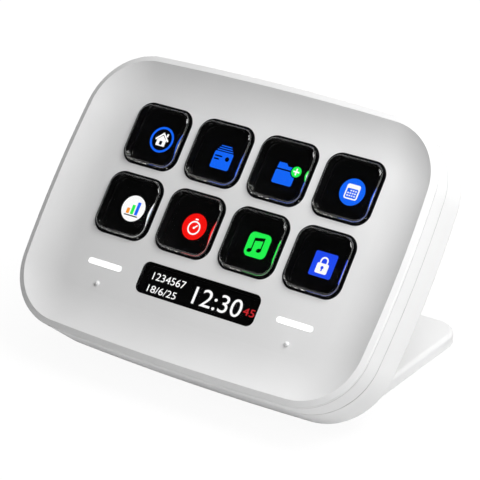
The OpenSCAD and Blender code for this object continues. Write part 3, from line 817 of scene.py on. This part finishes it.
drawing = bmesh.new()
card(drawing, 4.3, 0.3, corner=0.14, place=(0, CHART_FOOT - 0.4))
lay_on_display(drawing, "picture_5_line", DARK, key_place(5), layer=1)

# %% [markdown]
# ### Key 6: a stopwatch
#
# A red disc carries a white ring for the dial, a hand that starts at its middle, and a knob
# on top.

# %% Draw the stopwatch
DIAL_AT = (0, -0.35)
DIAL_R, DIAL_HOLE_R = 1.9, 1.5

drawing = bmesh.new()
disc(drawing, PICTURE_R)
lay_on_display(drawing, "picture_6_disc", RED, key_place(6))

drawing = bmesh.new()
ring(drawing, DIAL_R, DIAL_HOLE_R, DIAL_AT)
card(drawing, 0.9, 0.4, corner=0.1, place=(0, 2.0))
card(drawing, 0.35, 1.3, corner=0.15, place=(0.4, 0.05), turn=-40)
disc(drawing, 0.32, DIAL_AT)
lay_on_display(drawing, "picture_6_watch", WHITE, key_place(6), layer=1)

# %% [markdown]
# ### Key 7: a note
#
# Two leaning heads hang on stems from one slanted beam, dark on a green card. A circle that
# is scaled along one axis and then turned makes a head.

# %% Draw the note
HEAD_R, HEAD_FLATNESS = 0.75, 0.72
HEAD_LEAN = math.radians(20)
HEAD_ASIDE = 0.5
STEM_X, STEM_W = 1.35, 0.34
STEM_FOOT, STEM_TOP = -1.5, 1.65
BEAM_FOOT, BEAM_TOP = 0.9, 1.75
BEAM_RISE = 0.5

drawing = bmesh.new()
card(drawing, 6.6, 6.6, corner=1.5)
lay_on_display(drawing, "picture_7_card", GREEN, key_place(7))

drawing = bmesh.new()
for side in (-1, 1):
    top = STEM_TOP + side * BEAM_RISE / 2
    foot = STEM_FOOT + side * BEAM_RISE / 2
    card(drawing, STEM_W, top - foot, corner=0.05, place=(side * STEM_X, (top + foot) / 2))
    head = disc(drawing, HEAD_R)
    lean = (Matrix.Translation((side * STEM_X - HEAD_ASIDE, foot, 0))
            @ Matrix.Rotation(HEAD_LEAN, 4, "Z") @ Matrix.Diagonal((1, HEAD_FLATNESS, 1, 1)))
    bmesh.ops.transform(drawing, matrix=lean, verts=head)
beam_end = STEM_X + STEM_W / 2
outline(drawing, [(-beam_end, BEAM_FOOT), (beam_end, BEAM_FOOT + BEAM_RISE),
                  (beam_end, BEAM_TOP + BEAM_RISE), (-beam_end, BEAM_TOP)])
lay_on_display(drawing, "picture_7_note", DARK, key_place(7), layer=1)

# %% [markdown]
# ### Key 8: a padlock
#
# The lock's body is a card, and the keyhole a disc over a small card. The shackle is a ring:
# a plane cuts its lower half away, and the two cut ends are drawn down as its legs.

# %% Draw the padlock
SHACKLE_R, SHACKLE_T = 1.15, 0.42
LEG_H, LEG_SINK = 0.62, 0.02
BODY_W, BODY_H, BODY_TOP = 3.4, 2.7, 0.35
ON_PLANE = 0.001

drawing = bmesh.new()
card(drawing, 6.5, 6.5, corner=0.5)
lay_on_display(drawing, "picture_8_card", DEEP_BLUE, key_place(8))

drawing = bmesh.new()
ring(drawing, SHACKLE_R, SHACKLE_R - SHACKLE_T)
bmesh.ops.bisect_plane(drawing, geom=drawing.verts[:] + drawing.edges[:] + drawing.faces[:],
                       dist=ON_PLANE, plane_co=(0, 0, 0), plane_no=(0, 1, 0), clear_inner=True)
ends = [edge for edge in drawing.edges if max(abs(v.co.y) for v in edge.verts) < ON_PLANE]
legs = bmesh.ops.extrude_edge_only(drawing, edges=ends)["geom"]
feet = [part for part in legs if isinstance(part, bmesh.types.BMVert)]
bmesh.ops.translate(drawing, verts=feet, vec=(0, -LEG_H, 0))
bmesh.ops.translate(drawing, verts=drawing.verts[:], vec=(0, BODY_TOP + LEG_H - LEG_SINK, 0))
card(drawing, BODY_W, BODY_H, corner=0.4, place=(0, BODY_TOP - BODY_H / 2))
lay_on_display(drawing, "picture_8_lock", WHITE, key_place(8), layer=1)

drawing = bmesh.new()
disc(drawing, 0.42, place=(0, -0.75))
card(drawing, 0.34, 0.9, corner=0.1, place=(0, -1.25))
lay_on_display(drawing, "picture_8_keyhole", DEEP_BLUE, key_place(8), layer=2)

# %% [markdown]
# ## Figures in the small window
#
# The small window shows plain figures: a date under the numbers of the week's days, the
# time, and the seconds in red. Blender's own letter shapes make them, whose figures are
# 0.729 of the text's size high. A text becomes a mesh first, is narrowed to the tall shape
# of display figures, and is only then laid in place, a hair in front of the display.

# %% Set the figures
FIGURE_SHARE = 0.729
FIGURE_GAP = 0.0055


def figures(name, text, finish, left, base, height, width):
    """Figures of a given height, spread over a given width from their left end."""
    letters = bpy.data.curves.new(name, "FONT")
    letters.body = text
    letters.size = height / FIGURE_SHARE
    letters.extrude = LAYER / 2
    writing = bpy.data.objects.new(name, letters)
    bpy.context.scene.collection.objects.link(writing)
    bpy.context.view_layer.update()
    mesh = bpy.data.meshes.new_from_object(writing)
    bpy.data.objects.remove(writing)
    shape = bmesh.new()
    shape.from_mesh(mesh)
    bpy.data.meshes.remove(mesh)
    bmesh.ops.remove_doubles(shape, verts=shape.verts[:], dist=0.0001)
    start = min(v.co.x for v in shape.verts)
    run = max(v.co.x for v in shape.verts) - start
    level = DISPLAY_FRONT + FIGURE_GAP + LAYER / 2
    spot = (case_to_room @ Matrix.Translation((left, base, level))
            @ Matrix.Diagonal((width / run, 1, 1, 1)) @ Matrix.Translation((-start, 0, 0)))
    bmesh.ops.transform(shape, matrix=spot, verts=shape.verts[:])
    bmesh.ops.recalc_face_normals(shape, faces=shape.faces[:])
    make_piece(shape, name, finish)


figures("figures_week", "1234567", WHITE, left=-16.7, base=WINDOW_Y + 0.5, height=2.1, width=10.4)
figures("figures_date", "18/6/25", WHITE, left=-16.9, base=WINDOW_Y - 2.9, height=2.0, width=9.1)
figures("figures_time", "12:30", WHITE, left=-2.9, base=WINDOW_Y - 2.4, height=4.9, width=14.9)
figures("figures_seconds", "45", DIM_RED, left=12.6, base=WINDOW_Y - 1.2, height=2.1, width=3.4)

# %% [markdown]
# ## Silicone key mat
#
# One silicone sheet carries a small dome under each corner of every key. The dome is what
# gives under a finger, and it pushes the key back up. The sheet is cut from a copy of the
# CAD sheet: a plane just under its front takes the plain domes off, and a fill closes it.

# %% Cut the sheet
CUT_DEPTH = 0.005


def copy_of(node):
    """A CAD node's mesh as a new bmesh, with its loose triangles joined."""
    shape = bmesh.new()
    shape.from_mesh(frame["nodes"][node].data)
    bmesh.ops.remove_doubles(shape, verts=shape.verts[:], dist=0.000001)
    return shape


sheet = copy_of("key_mat")
cut = bmesh.ops.bisect_plane(sheet, geom=sheet.verts[:] + sheet.edges[:] + sheet.faces[:],
                             plane_co=case_to_room @ Vector((0, 0, MAT_FRONT - CUT_DEPTH)),
                             plane_no=face_normal, clear_outer=True)
rim = [part for part in cut["geom_cut"] if isinstance(part, bmesh.types.BMEdge)]
bmesh.ops.triangle_fill(sheet, edges=rim, use_beauty=True, use_dissolve=False, normal=face_normal)
bmesh.ops.recalc_face_normals(sheet, faces=sheet.faces[:])
mat_sheet = make_piece(sheet, "key_mat_sheet", FINISHES["silicone"])
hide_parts("key_mat")

# %% [markdown]
# ### Domes
#
# A dome is a thin bell round a solid button. Its outline is drawn once, from the top of the
# button down the outside and back up the hollow inside, and a full spin makes it round. As
# its key goes down, the bell folds flat.

# %% Spin the domes
DOME_OUTLINE = [(0, DOME_H), (0.5, DOME_H), (0.58, 1.02), (0.6, 0.72), (0.78, 0.5),
                (0.98, 0.28), (1.2, 0.06), (1.2, 0.0), (1.0, 0.0), (0.85, 0.24),
                (0.66, 0.42), (0.42, 0.52), (0.4, 0.34), (0, 0.34)]
DOME_STEPS = 24


def add_dome(shape, x, y):
    """A bell-shaped dome that stands on the sheet at x, y."""
    points = [shape.verts.new((x + r, y, MAT_FRONT + z)) for r, z in DOME_OUTLINE]
    edges = [shape.edges.new(pair) for pair in zip(points, points[1:])]
    bmesh.ops.spin(shape, geom=points + edges, cent=(x, y, 0), axis=(0, 0, 1),
                   angle=math.tau, steps=DOME_STEPS, use_merge=True)


for key in KEYS:
    domes = bmesh.new()
    x, y = key_place(key)
    for across in (-DOME_AT, DOME_AT):
        for up in (-DOME_AT, DOME_AT):
            add_dome(domes, x + across, y + up)
    bmesh.ops.remove_doubles(domes, verts=domes.verts[:], dist=0.001)
    bmesh.ops.recalc_face_normals(domes, faces=domes.faces[:])
    bmesh.ops.transform(domes, matrix=case_to_room, verts=domes.verts[:])
    piece = make_piece(domes, f"key_mat_domes_{key}", FINISHES["silicone"])
    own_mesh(piece)

# %% [markdown]
# ## Inside the cable socket
#
# A black plastic tongue fills the middle of the socket, and twelve gold contacts lie on each
# of its two faces. The tongue's outline is a card pushed out along the socket's depth, a hair
# larger than the metal tongue of the CAD model, which it covers. One contact is a slender
# card that is sunk a little into the tongue, and a loop lays a row of them on either face.

# %% Make the tongue and its contacts
CONTACTS = 12
CONTACT_PITCH = 0.5
CONTACT_W, CONTACT_L, CONTACT_T = 0.26, 2.6, 0.05
CONTACT_SINK, CONTACT_START = 0.01, 0.2
TONGUE_SKIN = 0.04

tongue = bmesh.new()
card(tongue, TONGUE_W + 2 * TONGUE_SKIN, TONGUE_T + 2 * TONGUE_SKIN, corner=0.15)
thicken(tongue, TONGUE_ROOT - TONGUE_END)
spot = case_to_room @ Matrix.Translation((0, SOCKET_Y, TONGUE_END - TONGUE_SKIN))
bmesh.ops.transform(tongue, matrix=spot, verts=tongue.verts[:])
make_piece(tongue, "socket_tongue", FINISHES["black_plastic"])

gold = plated_metal("contact_gold", (0.95, 0.68, 0.28), (0.18, 0.3))
contacts = bmesh.new()
for face in (-1, 1):
    row = bmesh.new()
    for number in range(CONTACTS):
        x = (number - (CONTACTS - 1) / 2) * CONTACT_PITCH
        card(row, CONTACT_W, CONTACT_L, corner=0.08, place=(x, 0))
    thicken(row, CONTACT_T)
    face_level = face * (TONGUE_T / 2 + TONGUE_SKIN - CONTACT_SINK)
    middle_depth = TONGUE_END + CONTACT_START + CONTACT_L / 2
    spot = (case_to_room @ Matrix.Translation((0, SOCKET_Y + face_level, middle_depth))
            @ Matrix.Rotation(math.radians(-90 * face), 4, "X"))
    bmesh.ops.transform(row, matrix=spot, verts=row.verts[:])
    part = bpy.data.meshes.new("row")
    row.to_mesh(part)
    row.free()
    contacts.from_mesh(part)
    bpy.data.meshes.remove(part)
make_piece(contacts, "socket_contacts", gold)

# %% [markdown]
# ## Studio
#
# A white object on white needs tones, not outlines. The room is white for the camera, in
# mirror images and through clear plastic, but it lights everything else only faintly. Lamps
# then decide which walls shine and which fall into grey.

# %% Surroundings
def camera_or_bent_ray(tree):
    """1 for rays that come straight from the camera, off a mirror or through glass."""
    rays = tree.nodes.new("ShaderNodeLightPath").outputs
    bent = calculate(tree, "MAXIMUM", rays["Is Glossy Ray"], rays["Is Transmission Ray"])
    return calculate(tree, "MAXIMUM", rays["Is Camera Ray"], bent)


FILL = 0.122

world = bpy.data.worlds.new("studio")
world.use_nodes = True
world_tree = world.node_tree
background = world_tree.nodes["Background"]
background.inputs["Color"].default_value = (1, 1, 1, 1)
seen = world_tree.nodes.new("ShaderNodeMapRange")
seen.inputs["To Min"].default_value = FILL
seen.inputs["To Max"].default_value = 1.0
world_tree.links.new(camera_or_bent_ray(world_tree), seen.inputs["Value"])
world_tree.links.new(seen.outputs["Result"], background.inputs["Strength"])
bpy.context.scene.world = world
bpy.context.scene.view_settings.view_transform = "Standard"
print("the surroundings light the object with a strength of", FILL)

# %% [markdown]
# ### Lamps
#
# A large soft light stands high on the right, so that the right walls and everything that
# faces up shine, while the slope under the upper rim and the edge along the bottom fall into
# a soft grey. Two weak lamps near the table lift the right side. The nearer of them is kept
# out of mirror images, because it would lie over the black keys as a haze.

# %% Set up the lamps
OBJECT_MIDDLE = Vector((0, 0, 0.035))


def add_lamp(name, turn, rise, distance, size, power, mirrored=True):
    """A square soft light that looks at the object's middle.

    turn is its angle round the object from the right, and rise its angle over the table,
    both in degrees. A lamp that isn't mirrored lights the object, but no shiny face shows
    its image.
    """
    around, up = math.radians(turn), math.radians(rise)
    to_lamp = Vector((math.cos(around) * math.cos(up), math.sin(around) * math.cos(up),
                      math.sin(up)))
    lamp_data = bpy.data.lights.new(name, "AREA")
    lamp_data.size = size
    lamp_data.energy = power
    lamp = bpy.data.objects.new(name, lamp_data)
    lamp.location = OBJECT_MIDDLE + distance * to_lamp
    lamp.rotation_euler = (-to_lamp).to_track_quat("-Z", "Y").to_euler()
    lamp.visible_glossy = mirrored
    lamp.visible_transmission = mirrored
    bpy.context.scene.collection.objects.link(lamp)
    print("the", name, "stands", distance, "m from the object")


add_lamp("key light", turn=0, rise=60, distance=0.35, size=0.2, power=1.27)
add_lamp("low side light", turn=30, rise=10, distance=0.35, size=0.2, power=0.052)
add_lamp("near front light", turn=-30, rise=30, distance=0.2, size=0.1, power=0.07,
         mirrored=False)

# %% [markdown]
# ### Black card
#
# The white room would lie over the black keys as a haze too. A black card in front of the
# face keeps it away. Only rays off a mirror or through clear plastic can see the card, so it
# casts no shadow. The keys then keep their black, with the pale room just along their edges.

# %% Hang the black card
CARD_DISTANCE = 0.42
CARD_LEFT, CARD_RIGHT = -1.6, 1.0
CARD_LOW, CARD_HIGH = -0.4, 1.6


def stage_piece(shape, name, finish):
    """Turns a finished shape into a part of the studio, which isn't part of the object."""
    mesh = bpy.data.meshes.new(name)
    shape.to_mesh(mesh)
    shape.free()
    mesh.materials.append(finish)
    thing = bpy.data.objects.new(name, mesh)
    bpy.context.scene.collection.objects.link(thing)
    return thing


velvet = dark_finish("black_velvet", (0.0008, 0.0008, 0.0008), (0.002, 0.002, 0.002),
                     roughness=(0.95, 1.0), grain=300, depth=0.0005)
card_place = (Matrix.Translation(face_normal * CARD_DISTANCE + OBJECT_MIDDLE)
              @ Matrix.Rotation(FACE_TILT, 4, "X")
              @ Matrix.Translation(((CARD_LEFT + CARD_RIGHT) / 2, (CARD_LOW + CARD_HIGH) / 2, 0))
              @ Matrix.Diagonal((CARD_RIGHT - CARD_LEFT, CARD_HIGH - CARD_LOW, 1, 1)))
card_shape = bmesh.new()
bmesh.ops.create_grid(card_shape, x_segments=1, y_segments=1, size=0.5, matrix=card_place)
black_card = stage_piece(card_shape, "black_card", velvet)
black_card.visible_camera = False
black_card.visible_diffuse = False
black_card.visible_shadow = False
print("the black card hangs", CARD_DISTANCE, "m in front of the face")

# %% [markdown]
# ### Floor
#
# Close to the object the floor gives nine tenths of the brightness that the camera sees by
# itself, and the last tenth keeps a faint shadow. Further out all of the brightness is its
# own, so that it is as white as the room and no horizon shows. Mirror images and clear
# plastic see the same floor, and to all other rays it is a plain pale table.

# %% Lay the floor
FLOOR_R = 6
FLOOR_GLOW = 1.04
GLOW_NEAR, GLOW_FAR = 0.9, 1.0
SHADOW_NEAR, SHADOW_FAR = 0.05, 0.13


def white_floor():
    """Pale floor that keeps a faint shadow round the object and fades to white further out."""
    material, tree, shader = start_material("white_floor", (0.8, 0.8, 0.8), 0.7)
    vary_value(tree, add_noise(tree, 5), shader.inputs["Roughness"], 0.65, 0.75)
    bright = tree.nodes.new("ShaderNodeEmission")
    bright.inputs["Strength"].default_value = FLOOR_GLOW
    place = tree.nodes.new("ShaderNodeTexCoord")
    away = tree.nodes.new("ShaderNodeVectorMath")
    away.operation = "LENGTH"
    fade = tree.nodes.new("ShaderNodeMapRange")
    fade.inputs["From Min"].default_value = SHADOW_NEAR
    fade.inputs["From Max"].default_value = SHADOW_FAR
    fade.inputs["To Min"].default_value = GLOW_NEAR
    fade.inputs["To Max"].default_value = GLOW_FAR
    tree.links.new(place.outputs["Object"], away.inputs[0])
    tree.links.new(away.outputs["Value"], fade.inputs["Value"])
    share = calculate(tree, "MULTIPLY", fade.outputs["Result"], camera_or_bent_ray(tree))
    mix = tree.nodes.new("ShaderNodeMixShader")
    tree.links.new(share, mix.inputs["Fac"])
    tree.links.new(shader.outputs["BSDF"], mix.inputs[1])
    tree.links.new(bright.outputs["Emission"], mix.inputs[2])
    tree.links.new(mix.outputs["Shader"], tree.nodes["Material Output"].inputs["Surface"])
    return material


floor_shape = bmesh.new()
bmesh.ops.create_circle(floor_shape, cap_ends=True, segments=64, radius=FLOOR_R)
stage_piece(floor_shape, "floor", white_floor())
print("the floor reaches", FLOOR_R, "m out")
